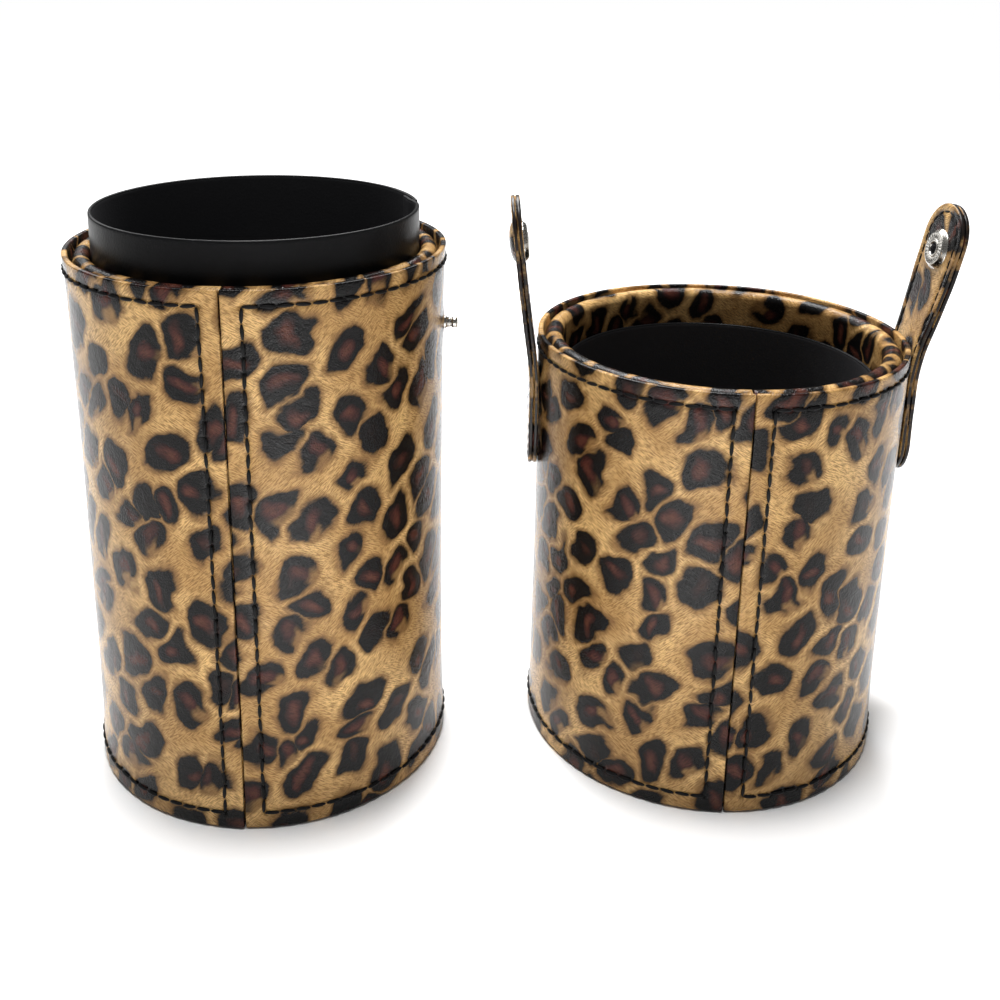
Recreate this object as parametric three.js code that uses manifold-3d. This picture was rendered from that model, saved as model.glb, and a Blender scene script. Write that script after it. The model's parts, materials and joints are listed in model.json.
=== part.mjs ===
// A two-part leopard-print leather cup set: a tall cup with a black collar, and the lid cup
// that slips over the collar, with two snap straps. Millimetres, +Z up, origin at the centre
// of the tall cup's base. The lid cup stands mouth up at the tall cup's right.
import * as THREE from 'three';
import { mergeVertices } from 'three/addons/utils/BufferGeometryUtils.js';
import Module from 'manifold-3d';

const wasm = await Module();
wasm.setup();

// ---- Driving dimensions ----
const SEGMENTS = 64;
const SMALL_SEGMENTS = 24;

const cup = { radius: 42.5, height: 127.1, liner: 37.1, linerTop: 135.6 };
const lid = { radius: 44.0, height: 103.8, liner: 38.0, linerTop: 94.5 };
const lidPlace = [109.9, 9.5];

const sleeveThickness = 1.3;
const coverThickness = 0.5;
const linerThickness = 1.0;
const layerGap = 0.15;
const seamWidth = 0.6;
const rimDrop = 0.35;

const baseThickness = 0.9;
const floorBoardThickness = 2.0;
const floorLiningThickness = 0.5;

const cupTurnIn = 12;
const lidTurnIn = 24;

const strapWidth = 18;
const strapLayer = 1.0;
const strapLayerGap = 0.25;
const strapThickness = 2 * strapLayer + strapLayerGap;
const strapFree = 32.3;
const strapRootDrop = 34.5;
const strapStandOff = 0.15;
const hingeAboveRim = 1.6;
const rootBelowHinge = 2.0;
const snapAlongStrap = 21.6;
const strapTilt = { right: 15.4, left: 9.4 };

const studHeight = 108;
const studTurn = { right: 0, left: 177 };
const stud = { flange: 1.55, shank: 1.05, head: 1.3, reach: 3.7 };
const socket = { radius: 5, thickness: 1.0, bore: 1.6, barrel: 2.0 };
const capRadius = 5;
const capHeight = 1.6;

// ---- Materials ----
function material(color, roughness, metalness) {
  return () => new THREE.MeshStandardMaterial({ color, roughness, metalness });
}
const leopard = material(0xb08650, 0.28, 0);
const blackLining = material(0x101113, 0.45, 0);
const board = material(0x8d7b63, 0.9, 0);
const nickel = material(0xc9c9c6, 0.25, 1);

function piece(name, geometry, look) {
  const mesh = new THREE.Mesh(geometry, look());
  mesh.name = name;
  return mesh;
}

// ---- Shapes of revolution about +Z, from [radius, height] points taken anticlockwise ----
function turned(points, segments = SEGMENTS) {
  const profile = points.map(([radius, height]) => new THREE.Vector2(radius, height));
  return new THREE.LatheGeometry(profile, segments).rotateX(Math.PI / 2);
}

function ring(inner, outer, bottom, top) {
  return turned([[outer, bottom], [outer, top], [inner, top], [inner, bottom], [outer, bottom]]);
}

function disc(radius, bottom, top, segments = SEGMENTS) {
  return turned([[0, bottom], [radius, bottom], [radius, top], [0, top]], segments);
}

// The printed skin folded over the board tube's mouth: a tall outer leg, a round top and a
// short turn-in.
function foldedSkin(inner, outer, bottom, top, turnIn) {
  const middle = (inner + outer) / 2;
  const crown = (outer - inner) / 2;
  const steps = 4;
  const points = [[outer, bottom]];
  for (let i = 0; i <= steps; i += 1) {
    const angle = (Math.PI * i) / steps;
    points.push([middle + crown * Math.cos(angle), top - crown + crown * Math.sin(angle)]);
  }
  points.push([inner, top - turnIn]);
  points.push([inner + coverThickness, top - turnIn]);
  for (let i = steps; i >= 0; i -= 1) {
    const angle = (Math.PI * i) / steps;
    const inside = crown - coverThickness;
    points.push([middle + inside * Math.cos(angle), top - crown + inside * Math.sin(angle)]);
  }
  points.push([outer - coverThickness, bottom]);
  points.push([outer, bottom]);
  return turned(points);
}

// A sheet wrapped once round, its two upright edges meeting at the front.
function wrappedSheet(inner, outer, bottom, top) {
  const halfSeam = seamWidth / 2 / outer;
  const start = -Math.PI / 2 + halfSeam;
  const end = (3 * Math.PI) / 2 - halfSeam;
  const outline = new THREE.Shape();
  outline.absarc(0, 0, outer, start, end, false);
  outline.absarc(0, 0, inner, end, start, true);
  outline.closePath();
  const settings = { depth: top - bottom, bevelEnabled: false, curveSegments: SEGMENTS / 2 };
  return new THREE.ExtrudeGeometry(outline, settings).translate(0, 0, bottom);
}

// ---- Cuts ----
function toSolid(geometry) {
  const bare = geometry.clone();
  bare.deleteAttribute('normal');
  bare.deleteAttribute('uv');
  const merged = mergeVertices(bare, 1e-4);
  const vertProperties = new Float32Array(merged.attributes.position.array);
  const triVerts = new Uint32Array(merged.index.array);
  return new wasm.Manifold(new wasm.Mesh({ numProp: 3, vertProperties, triVerts }));
}

function toGeometry(solid) {
  const mesh = solid.getMesh();
  const geometry = new THREE.BufferGeometry();
  geometry.setAttribute('position', new THREE.BufferAttribute(mesh.vertProperties, 3));
  geometry.setIndex(new THREE.BufferAttribute(mesh.triVerts, 1));
  geometry.computeVertexNormals();
  return geometry;
}

// A round pin at the studs' height, pointing away from the cup's axis, turned round the cup.
function crossPin(radius, from, to, turn) {
  const pin = new THREE.CylinderGeometry(radius, radius, to - from, SMALL_SEGMENTS).rotateZ(Math.PI / 2);
  return pin.translate((from + to) / 2, 0, studHeight).rotateZ(THREE.MathUtils.degToRad(turn));
}

// ---- The wall of one cup, from the liner outwards ----
function wallRadii(size) {
  const sleeveInner = size.radius - sleeveThickness;
  const coverOuter = sleeveInner - layerGap;
  const coverInner = size.liner + 2 * layerGap;
  return {
    sleeveInner,
    coverOuter,
    coverInner,
    boardOuter: coverOuter - coverThickness - layerGap,
    boardInner: coverInner + coverThickness + layerGap,
  };
}

// ---- Tall cup ----
const cupWall = wallRadii(cup);
const cupGroup = new THREE.Group();
const floorTop = baseThickness + layerGap + floorBoardThickness;
const liningTop = floorTop + layerGap + floorLiningThickness;
const wallBottom = baseThickness + layerGap;

function floorPieces(prefix, size, wall) {
  const boardRadius = size.liner - layerGap;
  const liningRadius = size.liner - linerThickness - layerGap;
  return [
    piece(`${prefix}_base_disc`, disc(wall.coverOuter, 0, baseThickness), blackLining),
    piece(`${prefix}_floor_board`, disc(boardRadius, wallBottom, floorTop), board),
    piece(
      `${prefix}_floor_lining`,
      disc(liningRadius, floorTop + layerGap, liningTop),
      blackLining,
    ),
  ];
}

function wallPieces(prefix, size, wall, turnIn) {
  const boardTop = size.height - rimDrop - coverThickness - 2 * layerGap - 1.5;
  const linerBottom = floorTop + layerGap;
  const coverTop = size.height - rimDrop;
  return [
    piece(
      `${prefix}_board_tube`,
      ring(wall.boardInner, wall.boardOuter, wallBottom, boardTop),
      board,
    ),
    piece(
      `${prefix}_tube_cover`,
      foldedSkin(wall.coverInner, wall.coverOuter, wallBottom, coverTop, turnIn),
      leopard,
    ),
    piece(
      `${prefix}_liner`,
      ring(size.liner - linerThickness, size.liner, linerBottom, size.linerTop),
      blackLining,
    ),
  ];
}

for (const mesh of floorPieces('cup', cup, cupWall)) cupGroup.add(mesh);
for (const mesh of wallPieces('cup', cup, cupWall, cupTurnIn)) cupGroup.add(mesh);

// The cup's sleeve has a hole for each stud's shank and a pocket for its plate.
const plate = { radius: 4, thickness: 0.5, clearance: 0.3 };
const plateInner = cupWall.sleeveInner + layerGap;
const plateOuter = plateInner + plate.thickness;
const sleeveBottom = 0.3;
let cupSleeve = toSolid(wrappedSheet(cupWall.sleeveInner, cup.radius, sleeveBottom, cup.height));
for (const turn of Object.values(studTurn)) {
  const pocketRadius = plate.radius + plate.clearance;
  const pocket = crossPin(pocketRadius, cupWall.sleeveInner - 2, plateOuter + 0.2, turn);
  const hole = crossPin(stud.shank + plate.clearance, plateInner, cup.radius + 2, turn);
  cupSleeve = cupSleeve.subtract(toSolid(pocket)).subtract(toSolid(hole));
}
cupGroup.add(piece('cup_sleeve', toGeometry(cupSleeve), leopard));

// ---- Snap studs, one on each side of the tall cup. The left one is set a little towards the back ----
function studGeometry() {
  const seat = cup.radius + 0.1;
  const tip = cup.radius + stud.reach;
  const shankBack = plateOuter + 0.1;
  return turned([
    [0, shankBack],
    [stud.shank, shankBack],
    [stud.shank, seat],
    [stud.flange, seat],
    [stud.flange, seat + 0.7],
    [stud.shank * 0.85, seat + 1.0],
    [stud.shank * 0.85, tip - 1.5],
    [stud.head, tip - 1.1],
    [stud.head, tip - 0.35],
    [stud.head * 0.72, tip],
    [0, tip],
  ], SMALL_SEGMENTS);
}

for (const [sideName, turn] of Object.entries(studTurn)) {
  const studFrame = new THREE.Group();
  studFrame.position.set(0, 0, studHeight);
  studFrame.rotation.z = THREE.MathUtils.degToRad(turn);
  const studMesh = piece(`${sideName}_stud`, studGeometry(), nickel);
  studMesh.rotation.y = Math.PI / 2;
  const plateMesh = piece(
    `${sideName}_stud_plate`,
    disc(plate.radius, plateInner, plateOuter, SMALL_SEGMENTS),
    nickel,
  );
  plateMesh.rotation.y = Math.PI / 2;
  studFrame.add(studMesh, plateMesh);
  cupGroup.add(studFrame);
}

// ---- Lid cup ----
const lidWall = wallRadii(lid);
const lidGroup = new THREE.Group();
lidGroup.position.set(lidPlace[0], lidPlace[1], 0);
for (const mesh of floorPieces('lid', lid, lidWall)) lidGroup.add(mesh);
for (const mesh of wallPieces('lid', lid, lidWall, lidTurnIn)) lidGroup.add(mesh);
lidGroup.add(
  piece(
    'lid_sleeve',
    wrappedSheet(lidWall.sleeveInner, lid.radius, sleeveBottom, lid.height),
    leopard,
  ),
);

// ---- Straps: two printed layers each, drawn flat, then stood up facing outwards ----
const standUp = new THREE.Matrix4().makeBasis(
  new THREE.Vector3(0, 1, 0),
  new THREE.Vector3(0, 0, 1),
  new THREE.Vector3(1, 0, 0),
);

function layerGeometry(outline, inside) {
  const settings = { depth: strapLayer, bevelEnabled: false, curveSegments: 12 };
  const flat = new THREE.ExtrudeGeometry(outline, settings);
  return flat.applyMatrix4(standUp).translate(inside, 0, 0);
}

// The free length: square at the hinge, a half round at the tip, and a hole for the snap.
function freeOutline() {
  const half = strapWidth / 2;
  const outline = new THREE.Shape();
  outline.moveTo(-half, 0);
  outline.lineTo(half, 0);
  outline.lineTo(half, strapFree - half);
  outline.absarc(0, strapFree - half, half, 0, Math.PI, false);
  outline.closePath();
  const hole = new THREE.Path();
  hole.absarc(0, snapAlongStrap, socket.barrel + 0.3, 0, 2 * Math.PI, true);
  outline.holes.push(hole);
  return outline;
}

// The sewn-down root: square at the top, a half round at the foot.
function rootOutline() {
  const half = strapWidth / 2;
  const top = -rootBelowHinge;
  const foot = -(hingeAboveRim + strapRootDrop);
  const outline = new THREE.Shape();
  outline.moveTo(half, top);
  outline.lineTo(-half, top);
  outline.lineTo(-half, foot + half);
  outline.absarc(0, foot + half, half, Math.PI, 2 * Math.PI, false);
  outline.closePath();
  return outline;
}

function socketGeometry() {
  const face = -strapThickness / 2 - 0.3;
  const back = face - socket.thickness;
  const barrelEnd = strapThickness / 2 + 0.3;
  return turned([
    [socket.bore, back],
    [socket.radius - 0.5, back],
    [socket.radius, back + 0.5],
    [socket.radius, face],
    [socket.barrel, face],
    [socket.barrel, barrelEnd],
    [socket.bore, barrelEnd],
    [socket.bore, back],
  ], SMALL_SEGMENTS);
}

function capGeometry() {
  const face = strapThickness / 2 + 0.3;
  return turned([
    [0, face + 0.3],
    [socket.barrel + 0.4, face + 0.3],
    [socket.barrel + 0.4, face],
    [capRadius, face],
    [capRadius * 0.92, face + capHeight * 0.45],
    [capRadius * 0.7, face + capHeight * 0.8],
    [capRadius * 0.35, face + capHeight],
    [0, face + capHeight],
  ], SMALL_SEGMENTS);
}

const innerLayerFace = -strapThickness / 2;
const outerLayerFace = strapThickness / 2 - strapLayer;
const hingeRadius = lid.radius + strapStandOff + strapThickness / 2;
const hingeHeight = lid.height + hingeAboveRim;

for (const [sideName, turn] of [['right', 0], ['left', Math.PI]]) {
  const strapFrame = new THREE.Group();
  strapFrame.rotation.z = turn;
  lidGroup.add(strapFrame);

  const root = new THREE.Group();
  root.position.set(hingeRadius, 0, hingeHeight);
  root.add(
    piece(
      `${sideName}_strap_root_inner`,
      layerGeometry(rootOutline(), innerLayerFace),
      leopard,
    ),
    piece(
      `${sideName}_strap_root_outer`,
      layerGeometry(rootOutline(), outerLayerFace),
      leopard,
    ),
  );
  strapFrame.add(root);

  const free = new THREE.Group();
  free.position.copy(root.position);
  free.rotation.y = THREE.MathUtils.degToRad(strapTilt[sideName]);
  const snapSocket = piece(`${sideName}_snap_socket`, socketGeometry(), nickel);
  snapSocket.position.z = snapAlongStrap;
  snapSocket.rotation.y = Math.PI / 2;
  const snapCap = piece(`${sideName}_snap_cap`, capGeometry(), leopard);
  snapCap.position.z = snapAlongStrap;
  snapCap.rotation.y = Math.PI / 2;
  free.add(
    piece(`${sideName}_strap_inner`, layerGeometry(freeOutline(), innerLayerFace), leopard),
    piece(`${sideName}_strap_outer`, layerGeometry(freeOutline(), outerLayerFace), leopard),
    snapSocket,
    snapCap,
  );
  strapFrame.add(free);
}

const part = new THREE.Group();
part.add(cupGroup, lidGroup);

export default part;
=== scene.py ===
import json
import math
import random

import bmesh
import bpy
from mathutils import Matrix, Vector, noise


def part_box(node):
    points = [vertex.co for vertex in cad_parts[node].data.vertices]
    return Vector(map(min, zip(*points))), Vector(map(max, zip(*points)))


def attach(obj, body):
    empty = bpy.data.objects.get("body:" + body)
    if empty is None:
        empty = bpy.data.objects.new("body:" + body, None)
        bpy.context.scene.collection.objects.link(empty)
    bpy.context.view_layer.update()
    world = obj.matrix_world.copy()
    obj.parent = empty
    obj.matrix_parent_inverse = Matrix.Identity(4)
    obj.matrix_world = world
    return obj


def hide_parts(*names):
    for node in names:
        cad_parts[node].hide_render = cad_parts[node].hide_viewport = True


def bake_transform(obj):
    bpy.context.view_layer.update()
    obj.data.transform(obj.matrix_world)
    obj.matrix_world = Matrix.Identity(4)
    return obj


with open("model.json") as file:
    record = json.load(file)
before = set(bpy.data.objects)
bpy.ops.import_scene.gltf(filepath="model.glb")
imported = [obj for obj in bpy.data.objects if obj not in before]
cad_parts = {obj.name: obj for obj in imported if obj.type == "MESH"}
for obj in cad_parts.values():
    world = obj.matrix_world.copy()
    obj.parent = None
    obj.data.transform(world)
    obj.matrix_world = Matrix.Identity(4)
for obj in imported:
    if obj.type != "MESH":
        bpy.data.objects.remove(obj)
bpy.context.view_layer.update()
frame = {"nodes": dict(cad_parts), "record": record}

# ---- Camera ----
# A 44 mm lens a hand's breadth above the cups and in front of them, looking down a little.
# The picture is shifted so that the cups stand in the middle of the frame.
MM = 0.001
camera_place = Vector((54.46, -274.96, 192.79)) * MM
camera_pitch = 0.2930
camera_roll = 0.0160

camera_data = bpy.data.cameras.new("studio_camera")
camera_data.sensor_width = 36.0
camera_data.lens = 43.99
camera_data.shift_x = 0.0068
camera_data.shift_y = -0.1848
camera_data.clip_start = 0.01
camera = bpy.data.objects.new("studio_camera", camera_data)
tip_down = Matrix.Rotation(math.pi / 2 - camera_pitch, 4, "X")
camera.matrix_world = Matrix.Translation(camera_place) @ tip_down @ Matrix.Rotation(camera_roll, 4, "Z")
bpy.context.collection.objects.link(camera)
bpy.context.scene.camera = camera
bpy.context.scene.view_settings.view_transform = "Standard"

# ---- Shader wires ----
# A wire is one socket of a material. Sums and products of wires add their Math nodes, and
# spread turns a map and then scales it along and across the new heading.


class Wire:
    def __init__(self, socket):
        self.socket = socket

    def node(self, kind, inputs, settings=None, output=0):
        tree = self.socket.id_data
        made = tree.nodes.new(kind)
        for name, value in (settings or {}).items():
            setattr(made, name, value)
        for key, value in inputs.items():
            if isinstance(value, Wire):
                tree.links.new(value.socket, made.inputs[key])
            else:
                made.inputs[key].default_value = value
        return Wire(made.outputs[output])

    def math(self, operation, first, second):
        return self.node("ShaderNodeMath", {0: first, 1: second}, {"operation": operation})

    def __add__(self, other):
        return self.math("ADD", self, other)

    __radd__ = __add__

    def __sub__(self, other):
        return self.math("SUBTRACT", self, other)

    def __rsub__(self, other):
        return self.math("SUBTRACT", other, self)

    def __mul__(self, other):
        return self.math("MULTIPLY", self, other)

    __rmul__ = __mul__

    def __abs__(self):
        return self.math("ABSOLUTE", self, 0.0)

    def ease(self, low, high):
        ends = {0: self, 1: low, 2: high}
        return self.node("ShaderNodeMapRange", ends, {"interpolation_type": "SMOOTHSTEP"})

    def blend(self, first, second):
        colors = {0: self, 6: first, 7: second}
        return self.node("ShaderNodeMix", colors, {"data_type": "RGBA"}, output=2)

    def vector(self, operation, *others):
        inputs = {0: self}
        for index, other in enumerate(others, start=1):
            inputs[3 if operation == "SCALE" else index] = other
        output = 1 if operation in ("LENGTH", "DOT_PRODUCT") else 0
        return self.node("ShaderNodeVectorMath", inputs, {"operation": operation}, output)

    def channel(self, index):
        return self.node("ShaderNodeSeparateXYZ", {0: self}, output=index)

    def spread(self, along, across, turn):
        turned = {"Vector": self, "Axis": (0, 0, 1), "Angle": turn}
        return self.node("ShaderNodeVectorRotate", turned).vector("MULTIPLY", (along, across, 1))

    def mottle(self, scale, detail=2.0, output=0):
        inputs = {"Vector": self, "Scale": scale, "Detail": detail, "Roughness": 0.55}
        return self.node("ShaderNodeTexNoise", inputs, {"noise_dimensions": "2D"}, output)


def new_material(name, **constants):
    material = bpy.data.materials.new(name)
    material.use_nodes = True
    shader = material.node_tree.nodes["Principled BSDF"]
    for key, value in constants.items():
        shader.inputs[key.replace("_", " ")].default_value = value
    return material, shader


def feed(shader, name, wire):
    shader.id_data.links.new(wire.socket, shader.inputs[name])


# ---- Floor and light ----
# A plain white table top in a dim pale room, lit by a soft sun from overhead, two softboxes
# behind the cups and a spot on the table in front, which lights them from below.
floor_size = 6.0
floor_mesh = bpy.data.meshes.new("floor")
bm = bmesh.new()
bmesh.ops.create_grid(bm, x_segments=1, y_segments=1, size=floor_size)
bm.to_mesh(floor_mesh)
bm.free()
floor = bpy.data.objects.new("floor", floor_mesh)
bpy.context.collection.objects.link(floor)
floor_paint, _ = new_material("floor_paint", Base_Color=(0.9, 0.9, 0.9, 1.0), Roughness=0.9)
floor_mesh.materials.append(floor_paint)

world = bpy.data.worlds.new("pale_room")
world.use_nodes = True
world.node_tree.nodes["Background"].inputs["Color"].default_value = (1.0, 1.0, 1.0, 1.0)
world.node_tree.nodes["Background"].inputs["Strength"].default_value = 0.15
bpy.context.scene.world = world

sun_data = bpy.data.lights.new("overhead_sun", "SUN")
sun_data.energy = 3.2
sun_data.angle = math.radians(10)
sun = bpy.data.objects.new("overhead_sun", sun_data)
sun.rotation_euler = (math.radians(-1), math.radians(-2), 0)
bpy.context.collection.objects.link(sun)

for name, energy, place in (
    ("left_softbox", 1.5, (-0.3, 0.45, 0.5)),
    ("back_softbox", 7.5, (0.03, 0.45, 0.7)),
):
    box_data = bpy.data.lights.new(name, "AREA")
    box_data.size = 0.4
    box_data.energy = energy
    box = bpy.data.objects.new(name, box_data)
    box.location = place
    to_object = Vector((0.055, 0.0, 0.09)) - box.location
    box.rotation_euler = to_object.to_track_quat("-Z", "Y").to_euler()
    box.visible_camera = False
    bpy.context.collection.objects.link(box)

spot_data = bpy.data.lights.new("table_spot", "SPOT")
spot_data.energy = 32
spot_data.spot_size = math.radians(38)
spot_data.spot_blend = 1.0
spot_data.shadow_soft_size = 0.05
spot = bpy.data.objects.new("table_spot", spot_data)
spot.location = (0.055, -0.19, 0.35)
bpy.context.collection.objects.link(spot)

# ---- Printed leather ----
# Glossy coated leather with a leopard print: a tan ground with fine fur strokes, charcoal
# rosettes with red-brown hearts, and a fine pebble grain. It reads the print map, in metres.
rosette_pitch = 10.7
rosette_fill = 0.27
rosette_spread = 0.08
fur_slant_a = -0.75
fur_slant_b = 0.5
ground_light = (0.74, 0.47, 0.19, 1.0)
ground_mid = (0.38, 0.205, 0.065, 1.0)
ground_dark = (0.16, 0.08, 0.026, 1.0)
rosette_black = (0.0026, 0.0023, 0.0024, 1.0)
rosette_grey = (0.0075, 0.007, 0.007, 1.0)
heart_red = (0.06, 0.015, 0.012, 1.0)
heart_brown = (0.1, 0.034, 0.02, 1.0)


def printed_leather():
    material, shader = new_material("printed_leather")
    shader.inputs["Specular IOR Level"].default_value = 0.16
    tree = material.node_tree
    print_map = tree.nodes.new("ShaderNodeUVMap")
    print_map.uv_map = "print"
    place = Wire(print_map.outputs[0]).vector("SCALE", 1000.0)

    # The whole print sways a little, and every rosette's rim is frayed along the fur.
    middle = (0.5, 0.5, 0.5)
    sway = place.mottle(0.075, 1.0, output=1).vector("SUBTRACT", middle)
    swayed = place.vector("ADD", sway.vector("SCALE", 8.0))
    fray = swayed.spread(0.55, 2.2, -0.7).mottle(1.0, 3.0, output=1).vector("SUBTRACT", middle)
    lumps = place.mottle(0.22, 1.0, output=1).vector("SUBTRACT", middle)
    frayed = swayed.vector("ADD", fray.vector("SCALE", 0.75)).vector("ADD", lumps.vector("SCALE", 2.0))

    # Rosettes: the cells of a leaning net, rounded, each drawn in by its own amount.
    net = frayed.spread(0.86, 1.16, math.radians(-52))
    cells = {"Vector": net, "Scale": 1.0 / rosette_pitch, "Randomness": 0.72}
    nearest = {"voronoi_dimensions": "2D", "feature": "F1"}
    to_edge = {"voronoi_dimensions": "2D", "feature": "DISTANCE_TO_EDGE"}
    from_centre = net.node("ShaderNodeTexVoronoi", cells, nearest)
    chance = net.node("ShaderNodeTexVoronoi", cells, nearest, output=1)
    centre = net.node("ShaderNodeTexVoronoi", cells, nearest, output=2)
    edge = net.node("ShaderNodeTexVoronoi", cells, to_edge)
    chance_a = chance.channel(0)
    chance_b = chance.channel(1)
    chance_c = chance.channel(2)
    depth = 0.55 * edge - 0.8 * from_centre + rosette_fill - rosette_spread * chance_a
    blot = depth.ease(-0.06, 0.04)

    # Each heart is an oval turned its own way, and many open to the ground on one side.
    offset = net.vector("SUBTRACT", centre)
    heart_turn = {"Vector": offset, "Axis": (0, 0, 1), "Angle": 0.9 + chance_b * 1.6}
    turned = net.node("ShaderNodeVectorRotate", heart_turn)
    along = turned.channel(0)
    across = abs(turned.channel(1))
    oval = turned.vector("MULTIPLY", (0.34, 0.6, 0.0)).vector("LENGTH")
    heart = (1.0 - oval.ease(0.3, 1.2)) * chance_c.ease(0.0, 0.3)
    open_side = (along + across * 0.25).ease(1.6, 3.4) * (1.0 - across.ease(0.5, 1.8))
    open_side = open_side * chance_a.ease(0.6, 0.7)
    blot = blot * (1.0 - open_side)

    # The ground: fine fur strokes lying two ways, browner towards the rosettes.
    strokes_a = place.spread(0.6, 3.9, fur_slant_a).mottle(1.0, 4.0)
    strokes_b = place.spread(0.6, 3.9, fur_slant_b).mottle(1.0, 4.0)
    which = place.mottle(0.09, 0.0).ease(0.4, 0.6)
    strokes = strokes_a * which + strokes_b * (1.0 - which)
    drift = place.mottle(0.055, 2.0)
    ground = (drift.ease(0.35, 0.7) * 0.75 + 0.25).blend(ground_mid, ground_light)
    ground = (depth.ease(-0.22, -0.02) * 0.8).blend(ground, ground_dark)
    ground = ((1.0 - strokes.ease(0.36, 0.6)) * 0.72).blend(ground, ground_dark)
    charcoal = (strokes * 0.7 + drift * 0.3).ease(0.3, 0.75).blend(rosette_black, rosette_grey)
    warm = (oval.ease(0.0, 0.7) * 0.6 + chance_a * 0.4).blend(heart_brown, heart_red)
    marks = (heart * (0.45 + 0.55 * strokes.ease(0.3, 0.6))).blend(charcoal, warm)
    feed(shader, "Base Color", blot.blend(ground, marks))

    # A fine pebble grain under the gloss.
    pebbles = place.node("ShaderNodeTexVoronoi", {"Vector": place, "Scale": 2.1}, nearest)
    creases = place.mottle(0.5, 3.0)
    height = pebbles.ease(0.05, 0.6) * 0.5 + creases * 1.6
    bump = {"Height": height, "Strength": 0.6, "Distance": 0.00014}
    feed(shader, "Normal", height.node("ShaderNodeBump", bump))
    feed(shader, "Roughness", 0.15 + 0.12 * place.mottle(0.9, 2.0))
    return material


leopard = printed_leather()

# ---- Sheets cut flat, then wrapped ----
# Every leather part is cut flat with rounded edges, scored where it bends or is sewn, and
# then laid round its tube. The print map keeps the flat sheet's own places.


def steps_between(start, end, count):
    return [start + (end - start) * i / count for i in range(1, count)]


def flat_sheet(length, height, thickness, edge_round, across_cuts, up_cuts):
    bm = bmesh.new()
    bmesh.ops.create_cube(bm, size=1.0)
    bmesh.ops.scale(bm, vec=(length, thickness, height), verts=bm.verts)
    bmesh.ops.translate(bm, vec=(length / 2, 0, height / 2), verts=bm.verts)
    bmesh.ops.bevel(
        bm, geom=bm.edges[:], offset=edge_round, segments=3, profile=0.5, affect="EDGES", material=-1
    )
    score(bm, across_cuts, (1, 0, 0))
    score(bm, up_cuts, (0, 0, 1))
    return bm


def score(bm, cuts, direction, faces=None):
    """Cuts the whole sheet, or only the given faces of it, along parallel planes."""
    part = None
    if faces:
        edges = {edge for face in faces for edge in face.edges}
        part = list({vertex for edge in edges for vertex in edge.verts}) + list(edges) + faces
    for cut in cuts:
        everything = part or bm.verts[:] + bm.edges[:] + bm.faces[:]
        made = bmesh.ops.bisect_plane(
            bm, geom=everything, plane_co=Vector(direction) * cut, plane_no=direction, dist=1e-7
        )
        if faces:
            part = made["geom"]


def keep_print(bm, shift):
    layer = bm.loops.layers.uv.new("print")
    for face in bm.faces:
        for loop in face.loops:
            loop[layer].uv = (loop.vert.co.x + shift[0], loop.vert.co.z + shift[1])


def finish_piece(bm, name, body, material, replaces=()):
    bmesh.ops.recalc_face_normals(bm, faces=bm.faces)
    if bm.calc_volume(signed=True) < 0:
        bmesh.ops.reverse_faces(bm, faces=bm.faces)
    for face in bm.faces:
        face.smooth = True
    mesh = bpy.data.meshes.new(name)
    bm.to_mesh(mesh)
    bm.free()
    piece = bpy.data.objects.new(name, mesh)
    bpy.context.collection.objects.link(piece)
    mesh.materials.append(material)
    if body:
        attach(piece, body)
    if replaces:
        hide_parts(*replaces)
    return piece


# ---- The two cups' shared measures ----
# Both cups are built alike on board tubes: the tall cup on the left, the lid cup on the
# right. Every sheet is laid round its cup's own axis, and the seams face the front.


class Cup:
    def __init__(self, name, floor_centre, sleeve_node, liner_node):
        low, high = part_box(sleeve_node)
        self.name = name
        self.centre = floor_centre
        self.radius = (high[1] - low[1]) / 2
        self.bottom = low[2]
        self.height = high[2]
        liner_low, liner_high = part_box(liner_node)
        self.liner_radius = (liner_high[1] - liner_low[1]) / 2
        self.liner_bottom = liner_low[2]
        self.liner_top = liner_high[2]

    def point(self, azimuth, radius, height):
        x = self.centre[0] + radius * math.cos(azimuth)
        y = self.centre[1] + radius * math.sin(azimuth)
        return Vector((x, y, height))


mount_places = {mount["name"]: mount["pos_m"] for mount in frame["record"]["mounts"]}
cups = {
    "cup": Cup("cup", mount_places["cup_base"], "cup_sleeve", "cup_liner"),
    "lid": Cup("lid", mount_places["lid_base"], "lid_sleeve", "lid_liner"),
}
seam_azimuth = math.radians(-90)

# ---- Sleeves ----
# One printed sheet is wrapped round each tube and meets itself at the front. A lockstitched
# thread runs all round it, just inside its four edges, and pulls a pit at every needle hole.
sleeve_thickness = 1.3 * MM
seam_gap = 0.3 * MM
row_from_top = 3.5 * MM
row_from_bottom = 3.8 * MM
row_from_seam = 4.2 * MM
stitch_pitch = 3.5 * MM
channel_depth = 0.12 * MM
channel_width = 0.7 * MM
pit_depth = 0.34 * MM
pit_width = 0.6 * MM
bottom_flare = {"cup": 0.7 * MM, "lid": 0.6 * MM}
top_flare = {"cup": 0.85 * MM, "lid": 0.35 * MM}
print_shift = {"cup": (0.0, 0.0), "lid": (0.41, 0.13)}
stud_spots = {}
for side_name in ("right", "left"):
    low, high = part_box(f"{side_name}_stud")
    spot = (low + high) / 2
    stud_spots[side_name] = (math.atan2(spot.y, spot.x) % (2 * math.pi), spot.z)


def sleeve_size(cup):
    return 2 * math.pi * cup.radius - seam_gap, cup.height - cup.bottom


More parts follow.
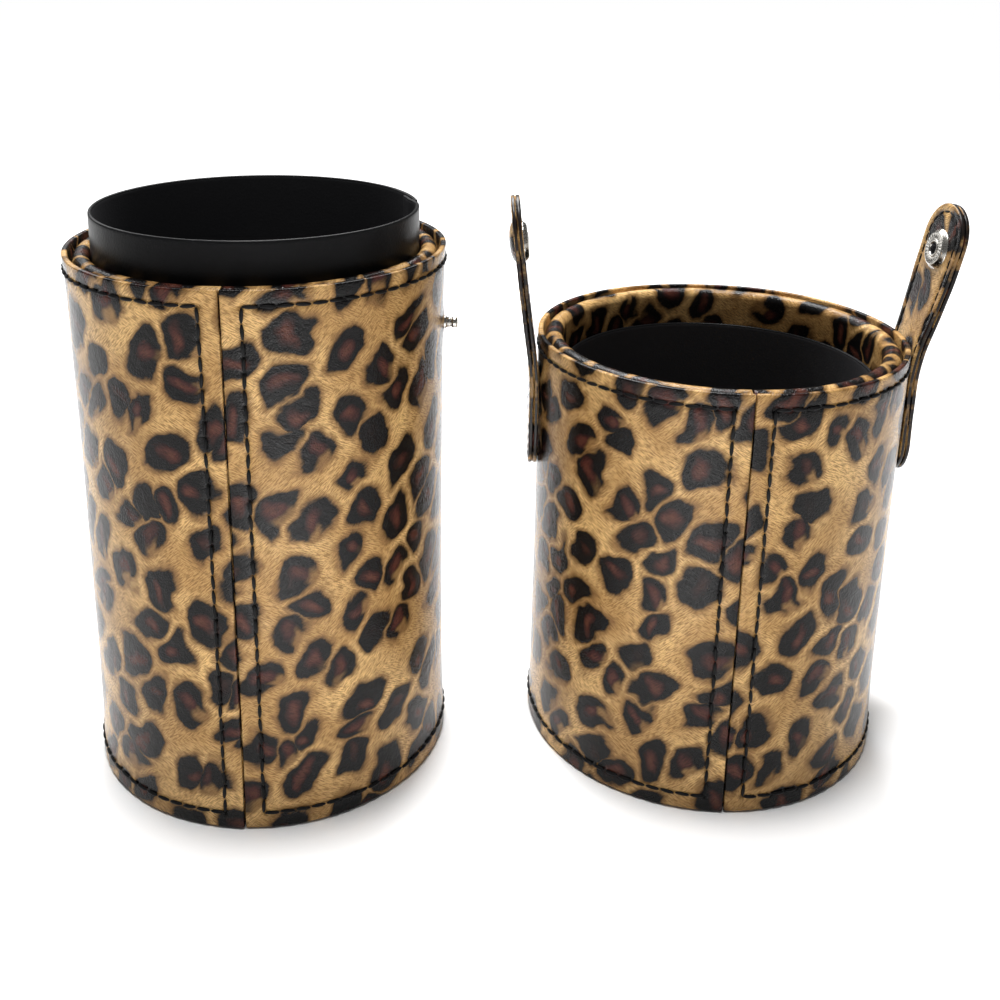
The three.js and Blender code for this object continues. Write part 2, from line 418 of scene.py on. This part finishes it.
def stitch_rows(cup):
    """The four stitch rows: where each starts and ends on the flat sheet, and its stitches."""
    length, height = sleeve_size(cup)
    left, right = row_from_seam, length - row_from_seam
    low, high = row_from_bottom, height - row_from_top
    corners = [(left, high), (right, high), (right, low), (left, low), (left, high)]
    for start, end in zip(corners, corners[1:]):
        run = Vector(end) - Vector(start)
        yield Vector(start), run.normalized(), run.length, round(run.length / stitch_pitch)


def stand_out(cup, across, up):
    """How far the sheet's face stands out from a true cylinder at one place."""
    length, height = sleeve_size(cup)
    lift = 0.0
    for start, ahead, run, count in cup.rows:
        step = Vector((across, up)) - start
        along = step.dot(ahead)
        aside = abs(step.x * ahead.y - step.y * ahead.x)
        if aside > 2 * MM or not -2 * MM < along < run + 2 * MM:
            continue
        hole = round(min(run, max(0.0, along)) / run * count) / count * run
        lift -= channel_depth * math.exp(-((aside / channel_width) ** 2))
        lift -= pit_depth * math.exp(-((along - hole) ** 2 + aside**2) / pit_width**2)
    lift += bottom_flare[cup.name] * math.exp(-up / (9 * MM))
    lift += top_flare[cup.name] * math.exp(-(height - up) / (14 * MM))
    lift += 0.25 * MM * math.exp(-(length - across) / (2.5 * MM))
    lift += 0.12 * MM * noise.noise(Vector((across * 70, up * 45, cup.radius * 100)))
    if cup.name == "cup":
        for azimuth, stud_height in stud_spots.values():
            round_to_stud = (azimuth - seam_azimuth) % (2 * math.pi) * cup.radius
            gap = math.hypot(across - round_to_stud, up + cup.bottom - stud_height)
            lift += 0.45 * MM * math.exp(-((gap / (2.6 * MM)) ** 2))
    return lift


def on_sleeve(cup, across, out, up):
    height = sleeve_size(cup)[1]
    azimuth = seam_azimuth + (across + seam_gap / 2) / cup.radius
    radius = cup.radius + out + stand_out(cup, across, up)
    sag = 0.2 * MM * noise.noise(Vector((across * 30, 0, cup.radius * 50))) * up / height
    return cup.point(azimuth, radius, cup.bottom + up + sag)


def cuts_at_holes(first, run, count):
    """Cuts through every needle hole and close on both sides of it, and one between holes."""
    step = run / count
    near = 0.5 * MM
    places = [first + i * step + side for i in range(count + 1) for side in (-near, 0.0, near)]
    return places + [first + (i + 0.5) * step for i in range(count)]


def wrap_sleeve(cup):
    length, height = sleeve_size(cup)
    top_row, seam_row = cup.rows[0], cup.rows[1]
    rows = cuts_at_holes(row_from_bottom, seam_row[2], seam_row[3])
    rows += [row_from_bottom + side for side in (-1.4 * MM, -0.9 * MM, 0.9 * MM)]
    rows += [height - row_from_top + side for side in (-0.9 * MM, 0.9 * MM, 1.4 * MM)]
    columns = cuts_at_holes(row_from_seam, top_row[2], top_row[3])
    near_seam = [row_from_seam + side for side in (-1.4 * MM, -0.9 * MM, 0.9 * MM)]
    columns += near_seam + [length - place for place in near_seam]
    coarse_rows = steps_between(0, height, 8)
    bm = flat_sheet(length, height, sleeve_thickness, 0.4 * MM, columns, coarse_rows)
    score(bm, rows, (0, 0, 1), [face for face in bm.faces if face.normal.y > 0.99])
    keep_print(bm, print_shift[cup.name])
    for vertex in bm.verts:
        across, out, up = vertex.co
        vertex.co = on_sleeve(cup, across, out - sleeve_thickness / 2, up)
    nodes = [f"{cup.name}_sleeve"]
    return finish_piece(bm, f"{cup.name}_printed_sleeve", cup.name, leopard, nodes)


for cup in cups.values():
    cup.rows = list(stitch_rows(cup))
    wrap_sleeve(cup)

# ---- Sleeve stitching ----
# Black waxed thread, lockstitched through the sleeve in one closed loop. Each stitch is a
# short plump run of thread that dives into its needle holes at both ends.
thread_radius = 0.43 * MM


def waxed_thread():
    material, shader = new_material("waxed_thread", Base_Color=(0.0035, 0.0035, 0.0038, 1.0))
    shader.inputs["Specular IOR Level"].default_value = 0.15
    place = Wire(material.node_tree.nodes.new("ShaderNodeTexCoord").outputs["Object"])
    twist = place.mottle(3500.0, 1.0)
    feed(shader, "Roughness", 0.42 + 0.25 * twist)
    bump = {"Height": twist, "Strength": 0.5, "Distance": 0.00008}
    feed(shader, "Normal", twist.node("ShaderNodeBump", bump))
    return material


thread = waxed_thread()


def add_stitch(bm, middle, ahead, outward, half_length, radius):
    side = outward.cross(ahead)
    across = Matrix((side * radius, outward * radius, ahead * half_length)).transposed().to_4x4()
    lie = Matrix.Translation(middle) @ across
    bmesh.ops.create_uvsphere(bm, u_segments=8, v_segments=6, radius=1.0, matrix=lie)


def sew_sleeve(cup, dice):
    bm = bmesh.new()
    for start, heading, run, count in cup.rows:
        for i in range(count):
            behind, middle, front = [
                on_sleeve(cup, place.x, thread_radius * 0.3, place.y)
                for place in (start + heading * run * (i + part) / count for part in (0.3, 0.5, 0.7))
            ]
            outward = (middle - Vector((cup.centre[0], cup.centre[1], middle.z))).normalized()
            ahead = (front - behind).normalized()
            ahead = (ahead + outward.cross(ahead) * dice.uniform(-0.09, 0.09)).normalized()
            outward = (outward - ahead * outward.dot(ahead)).normalized()
            add_stitch(bm, middle, ahead, outward, run / count * 0.49, thread_radius)
    return finish_piece(bm, f"{cup.name}_sleeve_thread", cup.name, thread)


for cup in cups.values():
    sew_sleeve(cup, random.Random(7))

# ---- Rims ----
# A thinner printed sheet covers each board tube. It goes up the outside, turns over the rim
# in a tight glossy roll and is glued down inside, where the lid's shows above the lining.
cover_thickness = 0.5 * MM
cover_inside_liner = 0.3 * MM
turned_in = {"cup": 12 * MM, "lid": 24 * MM}
rim_shift = {"cup": (0.23, 0.31), "lid": (0.67, 0.52)}


def cover_rim(cup):
    low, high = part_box(f"{cup.name}_tube_cover")
    outer = (high[1] - low[1]) / 2 - cover_thickness / 2
    inner = cup.liner_radius + cover_inside_liner + cover_thickness / 2
    roll = (outer - inner) / 2
    leg = high[2] - cover_thickness / 2 - roll - low[2]
    over = math.pi * roll
    length = 2 * math.pi * outer - seam_gap
    height = leg + over + turned_in[cup.name]
    rows = [leg * 0.5, leg - 4 * MM]
    rows += steps_between(leg - 0.2 * MM, leg + over + 0.2 * MM, 16)
    rows += steps_between(leg + over + 0.5 * MM, height - 1 * MM, 8)
    bm = flat_sheet(
        length, height, cover_thickness, 0.15 * MM, steps_between(0, length, 240), rows
    )
    keep_print(bm, rim_shift[cup.name])
    for vertex in bm.verts:
        across, out, up = vertex.co
        crease = noise.noise(Vector((across * 260, up * 40, 3.0)))
        ripple = noise.noise(Vector((across * 45, 0.0, cup.radius * 90)))
        if up < leg:
            radius, rise, turn = outer, up, 0.0
        elif up < leg + over:
            turn = (up - leg) / roll
            radius, rise = inner + roll + roll * math.cos(turn), leg + roll * math.sin(turn)
        else:
            radius, rise, turn = inner, leg - (up - leg - over), math.pi
        out += 0.05 * MM * crease * (1 if up > leg else 0)
        radius += out * math.cos(turn)
        rise += out * math.sin(turn) + 0.12 * MM * ripple * max(0.0, math.sin(turn))
        azimuth = seam_azimuth + (across + seam_gap / 2) / outer
        vertex.co = cup.point(azimuth, radius, low[2] + rise)
    nodes = [f"{cup.name}_tube_cover"]
    return finish_piece(bm, f"{cup.name}_rim_cover", cup.name, leopard, nodes)


for cup in cups.values():
    cover_rim(cup)

# ---- Linings ----
# Satin black sheet lines each cup. The tall cup's stands proud of the rim as the collar that
# the lid slips over. Each sheet laps over its own end, and the lap stands a little inwards.
# The sheet's inner face is a much lighter black than its outer face: painted fill light inside the
# cups.
lining_thickness = 0.9 * MM
lap_end = {"cup": math.radians(22), "lid": math.radians(-62)}
lap_angle = math.radians(10)
lap_ramp = math.radians(16)


def black_sheet(name, level, roughness, gloss):
    color = (level, level, level * 1.08, 1.0)
    scuffed_color = (level * 1.4, level * 1.4, level * 1.5, 1.0)
    material, shader = new_material(name, Base_Color=color)
    shader.inputs["Specular IOR Level"].default_value = gloss
    place = Wire(material.node_tree.nodes.new("ShaderNodeTexCoord").outputs["Object"])
    grain = place.node("ShaderNodeTexVoronoi", {"Vector": place, "Scale": 1900.0})
    cloud = place.node("ShaderNodeTexNoise", {"Vector": place, "Scale": 240.0, "Detail": 3.0})
    height = grain * 0.8 + cloud * 1.4
    bump = {"Height": height, "Strength": 0.35, "Distance": 0.00008}
    feed(shader, "Normal", height.node("ShaderNodeBump", bump))
    feed(shader, "Roughness", roughness + 0.14 * cloud)
    scuffed = {"Vector": place, "Scale": 60.0, "Detail": 6.0, "Roughness": 0.7}
    scuff = place.node("ShaderNodeTexNoise", scuffed).ease(0.5, 0.8)
    feed(shader, "Base Color", scuff.blend(color, scuffed_color))
    return material


collar_black = black_sheet("collar_black", 0.007, 0.28, 0.07)
# This black is lifted far above the collar's black as painted fill light standing in for the light
# inside the cups. It also covers the floor and base sheets and the snap wells.
lining_black_painted_fill = black_sheet("lining_black_painted_fill", 0.045, 0.5, 0.2)


def line_cup(cup):
    turn = 2 * math.pi + lap_angle
    length = turn * cup.liner_radius
    height = cup.liner_top - cup.liner_bottom
    columns = steps_between(0, length, 260)
    rows = steps_between(0, height, 12) + [height - 1 * MM]
    bm = flat_sheet(length, height, lining_thickness, 0.4 * MM, columns, rows)
    keep_print(bm, (0.0, 0.0))
    for face in bm.faces:
        # Inner faces take the lifted black, which paints in fill light; outer faces take the collar's
        # black.
        face.material_index = 1 if face.calc_center_median().y > lining_thickness * 0.49 else 0
    for vertex in bm.verts:
        across, out, up = vertex.co
        angle = across / cup.liner_radius
        inwards = max(0.0, 1 - (turn - angle) / lap_ramp)
        inwards = inwards * inwards * (3 - 2 * inwards)
        step_in = (lining_thickness + 0.05 * MM) * min(1.0, inwards * 2)
        step_in += 0.35 * MM * inwards * (up / height) ** 6
        wave = 0.15 * MM * noise.noise(Vector((across * 28, up * 20, cup.radius * 70)))
        radius = cup.liner_radius - lining_thickness / 2 - out - step_in + wave
        azimuth = lap_end[cup.name] - lap_angle + angle
        vertex.co = cup.point(azimuth, radius, cup.liner_bottom + up)
    nodes = [f"{cup.name}_liner"]
    piece = finish_piece(bm, f"{cup.name}_lining", cup.name, collar_black, nodes)
    piece.data.materials.append(lining_black_painted_fill)


for cup in cups.values():
    line_cup(cup)

# ---- Floors and bases ----
# A disc of black sheet lies on the board floor inside each cup, and another closes the
# base that the cup stands on. Both have cut edges, slightly rounded.


def cut_disc(cup, kind, word, radius, edge_round):
    node = f"{cup.name}_{kind}"
    low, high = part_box(node)
    centre = (low + high) / 2
    bm = bmesh.new()
    bmesh.ops.create_circle(bm, cap_ends=True, radius=radius, segments=160)
    grown = bmesh.ops.extrude_face_region(bm, geom=bm.faces[:])
    lifted = [item for item in grown["geom"] if isinstance(item, bmesh.types.BMVert)]
    bmesh.ops.translate(bm, vec=(0, 0, high[2] - low[2]), verts=lifted)
    rims = [edge for edge in bm.edges if abs(edge.verts[0].co.z - edge.verts[1].co.z) < 1e-9]
    bmesh.ops.bevel(
        bm, geom=rims, offset=edge_round, segments=2, profile=0.5, affect="EDGES", material=-1
    )
    bmesh.ops.translate(bm, vec=(centre.x, centre.y, low[2]), verts=bm.verts)
    # The discs take the lifted black, whose extra brightness is painted fill light.
    finish_piece(bm, f"{cup.name}_{word}", cup.name, lining_black_painted_fill, [node])


for cup in cups.values():
    inside = cup.liner_radius - lining_thickness - 0.2 * MM
    cut_disc(cup, "floor_lining", "floor_sheet", inside, 0.12 * MM)
    low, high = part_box(f"{cup.name}_base_disc")
    base_radius = (high[0] - low[0]) / 2
    cut_disc(cup, "base_disc", "base_sheet", base_radius, 0.25 * MM)

# ---- Board ----
# Grey pressed board makes the tubes and the floors. It is covered on every side, so it keeps
# the plain shapes it has in the frame.


def pressed_board():
    material, shader = new_material("pressed_board", Roughness=0.9)
    place = Wire(material.node_tree.nodes.new("ShaderNodeTexCoord").outputs["Object"])
    fibre = place.node("ShaderNodeTexNoise", {"Vector": place, "Scale": 900.0, "Detail": 4.0})
    feed(shader, "Base Color", fibre.ease(0.3, 0.7).blend((0.2, 0.16, 0.11, 1), (0.34, 0.28, 0.2, 1)))
    return material


board = pressed_board()
for cup in cups.values():
    for kind in ("board_tube", "floor_board"):
        frame["nodes"][f"{cup.name}_{kind}"].material_slots[0].material = board

# ---- Studs ----
# A bright nickel snap stud is riveted through the sleeve on each side of the tall cup, with
# a flat plate behind the leather. Its head has a groove that the strap's socket grips.
stud_base = cups["cup"].radius + 0.35 * MM
stud_profile = [
    (0.0, -1.2), (1.0, -1.2), (1.0, -0.3), (1.5, -0.3), (1.58, -0.1), (1.58, 0.5), (1.45, 0.68),
    (1.24, 0.78), (1.22, 1.4), (1.16, 1.6), (1.08, 1.7), (1.08, 1.85), (1.2, 1.95), (1.34, 2.1),
    (1.36, 2.35), (1.36, 2.8), (1.28, 3.05), (1.08, 3.22), (0.7, 3.3), (0.0, 3.32),
]


def spun(profile, steps):
    bm = bmesh.new()
    points = [bm.verts.new((radius * MM, 0, height * MM)) for radius, height in profile]
    edges = [bm.edges.new(pair) for pair in zip(points, points[1:])]
    bmesh.ops.spin(
        bm, geom=points + edges, cent=(0, 0, 0), axis=(0, 0, 1), angle=2 * math.pi, steps=steps,
        use_merge=True, use_duplicate=False,
    )
    bmesh.ops.remove_doubles(bm, verts=bm.verts, dist=1e-7)
    return bm


def bright_nickel():
    material, shader = new_material("bright_nickel", Base_Color=(0.5, 0.48, 0.44, 1), Metallic=1.0)
    place = Wire(material.node_tree.nodes.new("ShaderNodeTexCoord").outputs["Object"])
    scratches = place.node("ShaderNodeTexNoise", {"Vector": place, "Scale": 2500.0, "Detail": 3.0})
    feed(shader, "Roughness", 0.16 + 0.2 * scratches)
    bump = {"Height": scratches, "Strength": 0.15, "Distance": 0.00004}
    feed(shader, "Normal", scratches.node("ShaderNodeBump", bump))
    return material


nickel = bright_nickel()
for side_name, (azimuth, stud_height) in stud_spots.items():
    bm = spun(stud_profile, 48)
    facing = Matrix.Rotation(azimuth, 4, "Z") @ Matrix.Rotation(math.pi / 2, 4, "Y")
    bm.transform(Matrix.Translation(cups["cup"].point(azimuth, stud_base, stud_height)) @ facing)
    finish_piece(bm, f"{side_name}_snap_stud", "cup", nickel, [f"{side_name}_stud"])
    frame["nodes"][f"{side_name}_stud_plate"].material_slots[0].material = nickel

# ---- Straps ----
# Two printed layers are laid back to back and sewn round their edge. Each strap is sewn to
# the lid's side by its foot, and stands up past the rim, bent outwards by use.
strap_width = 18 * MM
layer_thickness = 1.08 * MM
root_inner_low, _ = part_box("right_strap_root_inner")
root_outer_low, root_outer_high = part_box("right_strap_root_outer")
strap_foot = root_outer_low[2]
strap_foot_radius = (root_inner_low[0] + root_outer_high[0]) / 2
strap_length = 67.6 * MM
strap_edge_row = 2.0 * MM
strap_pitch = 2.7 * MM
strap_shapes = {
    "right": {
        "side": 1, "twist": 5.5, "lean": 13.8, "tip_lean": 9.5, "from": 20.5, "to": 36.0,
        "print": (0.13, 0.91),
    },
    "left": {
        "side": -1, "twist": 0.0, "lean": 8.5, "tip_lean": 6.0, "from": 19.0, "to": 31.0,
        "print": (0.33, 0.77),
    },
}
twist_from = 32
twist_over = 22
lid_centre = Vector(cups["lid"].centre)


def edge_paint():
    material, shader = new_material("edge_paint", Roughness=0.35)
    shader.inputs["Specular IOR Level"].default_value = 0.25
    place = Wire(material.node_tree.nodes.new("ShaderNodeTexCoord").outputs["Object"])
    patches = {"Vector": place, "Scale": 150.0, "Detail": 4.0, "Roughness": 0.6}
    bare = place.node("ShaderNodeTexNoise", patches).ease(0.52, 0.64)
    feed(shader, "Base Color", bare.blend((0.01, 0.007, 0.006, 1.0), (0.26, 0.15, 0.055, 1.0)))
    return material


painted_edge = edge_paint()


def strap_lean(shape, along):
    share = min(1.0, max(0.0, (along / MM - shape["from"]) / (shape["to"] - shape["from"])))
    past = max(0.0, along / MM - shape["to"]) / (strap_length / MM - shape["to"])
    lean = shape["lean"] * share * share * (3 - 2 * share)
    return math.radians(lean + (shape["tip_lean"] - shape["lean"]) * past)


def strap_line(shape):
    """The strap's middle line, step by step from its foot: radius, height and lean."""
    step = 0.25 * MM
    radius, height = strap_foot_radius - lid_centre.x, strap_foot
    line = []
    for i in range(round(strap_length / step) + 1):
        lean = strap_lean(shape, i * step)
        line.append((radius, height, lean))
        radius += step * math.sin(lean)
        height += step * math.cos(lean)
    return step, line


def on_strap(shape, across, out, along):
    step, line = shape["line"]
    index = min(len(line) - 1, max(0, round(along / step)))
    radius, height, lean = line[index]
    rest = along - index * step
    turn = min(1.0, max(0.0, (along / MM - twist_from) / twist_over))
    out -= across * math.tan(math.radians(shape["twist"])) * turn * turn * (3 - 2 * turn)
    radius += rest * math.sin(lean) + out * math.cos(lean)
    height += rest * math.cos(lean) - out * math.sin(lean)
    side = shape["side"]
    return Vector((lid_centre.x + side * radius, lid_centre.y + side * across, height))


def bend_with_strap(piece):
    """Bakes the piece's placement into its mesh."""
    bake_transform(piece)


def cut_layer(side_name, facing):
    shape = strap_shapes[side_name]
    bm = bmesh.new()
    bmesh.ops.create_cube(bm, size=1.0)
    bmesh.ops.scale(bm, vec=(strap_width, layer_thickness, strap_length), verts=bm.verts)
    bmesh.ops.translate(bm, vec=(0, 0, strap_length / 2), verts=bm.verts)
    corners = [e for e in bm.edges if abs(e.verts[0].co.y - e.verts[1].co.y) > layer_thickness / 2]
    bmesh.ops.bevel(
        bm, geom=corners, offset=strap_width / 2 * 0.98, segments=14, profile=0.5, affect="EDGES",
        material=-1,
    )
    rims = [e for e in bm.edges if abs(e.verts[0].co.y - e.verts[1].co.y) < 1e-9]
    bmesh.ops.bevel(
        bm, geom=rims, offset=0.38 * MM, segments=3, profile=0.5, affect="EDGES", material=-1
    )
    bm.normal_update()
    for face in bm.faces:
        face.material_index = 1 if abs(face.normal.y) < 0.6 else 0
    shown = max(bm.faces, key=lambda face: face.normal.y * facing * face.calc_area())
    for width, depth in ((1.0, 0.0), (0.45, -0.2), (0.4, 0.0), (0.45, 0.2)):
        bmesh.ops.inset_region(
            bm, faces=[shown], thickness=width * MM, depth=depth * MM, use_even_offset=True
        )
    score(bm, steps_between(0, strap_length, 56), (0, 0, 1))
    score(bm, steps_between(-strap_width / 2, strap_width / 2, 12), (1, 0, 0))
    keep_print(bm, (shape["print"][0] + 0.05 * facing, shape["print"][1]))
    for vertex in bm.verts:
        across, out, along = vertex.co
        crease = noise.noise(Vector((across * 120, along * 160, facing * 2.0)))
        out += facing * (layer_thickness / 2 + 0.03 * MM) + 0.08 * MM * crease
        vertex.co = on_strap(shape, across, out, along)
    word = "outer" if facing > 0 else "inner"
    nodes = [f"{side_name}_strap_{word}", f"{side_name}_strap_root_{word}"]
    name = f"{side_name}_strap_{word}_layer"
    piece = finish_piece(bm, name, None, leopard, nodes)
    piece.data.materials.append(painted_edge)
    bend_with_strap(piece)


def round_the_edge(distance):
    """A place and heading on the stitch line, which follows the strap's edge all round."""
    half = strap_width / 2 - strap_edge_row
    straight = strap_length - strap_width
    arc = math.pi * half
    low = strap_width / 2
    if distance < straight:
        return half, low + distance, 0.0, 1.0
    distance -= straight
    if distance < arc:
        turn, middle = distance / half, low + straight
    elif distance < arc + straight:
        return -half, low + straight - (distance - arc), 0.0, -1.0
    else:
        turn, middle = math.pi + (distance - arc - straight) / half, low
    right, up = math.cos(turn), math.sin(turn)
    return half * right, middle + half * up, -up, right


def sew_strap(side_name):
    shape = strap_shapes[side_name]
    around = 2 * (strap_length - strap_width) + 2 * math.pi * (strap_width / 2 - strap_edge_row)
    count = round(around / strap_pitch)
    bm = bmesh.new()
    for i in range(count):
        across, along, right, up = round_the_edge(around * i / count)
        for facing in (1, -1):
            face = facing * (layer_thickness - 0.16 * MM)
            middle = on_strap(shape, across, face, along)
            tip = on_strap(shape, across + right * 0.5 * MM, face, along + up * 0.5 * MM)
            raised = on_strap(shape, across, face + facing * 0.5 * MM, along)
            ahead = (tip - middle).normalized()
            outward = (raised - middle).normalized()
            add_stitch(bm, middle, ahead, outward, 1.2 * MM, 0.28 * MM)
    piece = finish_piece(bm, f"{side_name}_strap_thread", None, thread)
    bend_with_strap(piece)


for side_name, shape in strap_shapes.items():
    shape["line"] = strap_line(shape)
    for facing in (1, -1):
        cut_layer(side_name, facing)
    sew_strap(side_name)

# ---- Snaps ----
# Near each strap's tip a nickel socket ring is riveted to the inner face, its border finely
# knurled, and a cap covered in the printed leather closes the rivet on the outer face.
snap_along = 56.4 * MM
socket_profile = [
    (0.0, 0.14), (1.42, 0.14), (1.52, 0.24), (1.55, 0.95), (1.64, 1.18), (1.85, 1.28),
    (2.05, 1.22), (2.3, 1.05), (2.6, 1.0), (3.5, 1.0), (3.75, 1.08), (3.95, 1.06), (4.2, 0.9),
    (4.85, 0.22), (4.95, 0.0), (4.8, -0.2), (0.0, -0.9),
]
cap_profile = [
    (0.0, 1.25), (1.2, 1.23), (2.4, 1.12), (3.4, 0.9), (4.2, 0.58), (4.8, 0.2), (5.2, -0.05),
    (5.2, -0.3), (0.0, -0.3),
]
knurl_teeth = 24
knurl_height = 0.09 * MM
knurl_inner = 2.4 * MM
knurl_outer = 3.6 * MM
well_radius = 1.54 * MM


def stand_on_strap(shape, facing):
    face = facing * (layer_thickness + 0.03 * MM)
    origin = on_strap(shape, 0.0, face, snap_along)
    right = (on_strap(shape, 1 * MM, face, snap_along) - origin).normalized()
    outward = (on_strap(shape, 0.0, face + facing * MM, snap_along) - origin).normalized()
    up = outward.cross(right)
    turn = Matrix((right, up, outward)).transposed().to_4x4()
    return Matrix.Translation(origin) @ turn


for side_name, shape in strap_shapes.items():
    bm = spun(socket_profile, 96)
    for vertex in bm.verts:
        radius = math.hypot(vertex.co.x, vertex.co.y)
        if knurl_inner < radius < knurl_outer and vertex.co.z > 0:
            tooth = math.cos(knurl_teeth * math.atan2(vertex.co.y, vertex.co.x))
            vertex.co.z += knurl_height * tooth
    for face in bm.faces:
        # Faces in the socket's shallow well take black: painted shade standing in for a deep dark hole.
        middle = face.calc_center_median()
        in_painted_dark_well = math.hypot(middle.x, middle.y) < well_radius and middle.z > 0
        face.material_index = 1 if in_painted_dark_well else 0
    bm.transform(stand_on_strap(shape, -1))
    node = f"{side_name}_snap_socket"
    name = f"{side_name}_socket_ring"
    ring = finish_piece(bm, name, f"{side_name}_strap", nickel, [node])
    ring.data.materials.append(lining_black_painted_fill)

    bm = spun(cap_profile, 64)
    layer = bm.loops.layers.uv.new("print")
    for face in bm.faces:
        for loop in face.loops:
            place = loop.vert.co
            across = place.x + shape["print"][0] + 0.05
            loop[layer].uv = (across, place.y + snap_along + shape["print"][1])
    bm.transform(stand_on_strap(shape, 1))
    node = f"{side_name}_snap_cap"
    finish_piece(bm, f"{side_name}_covered_cap", f"{side_name}_strap", leopard, [node])
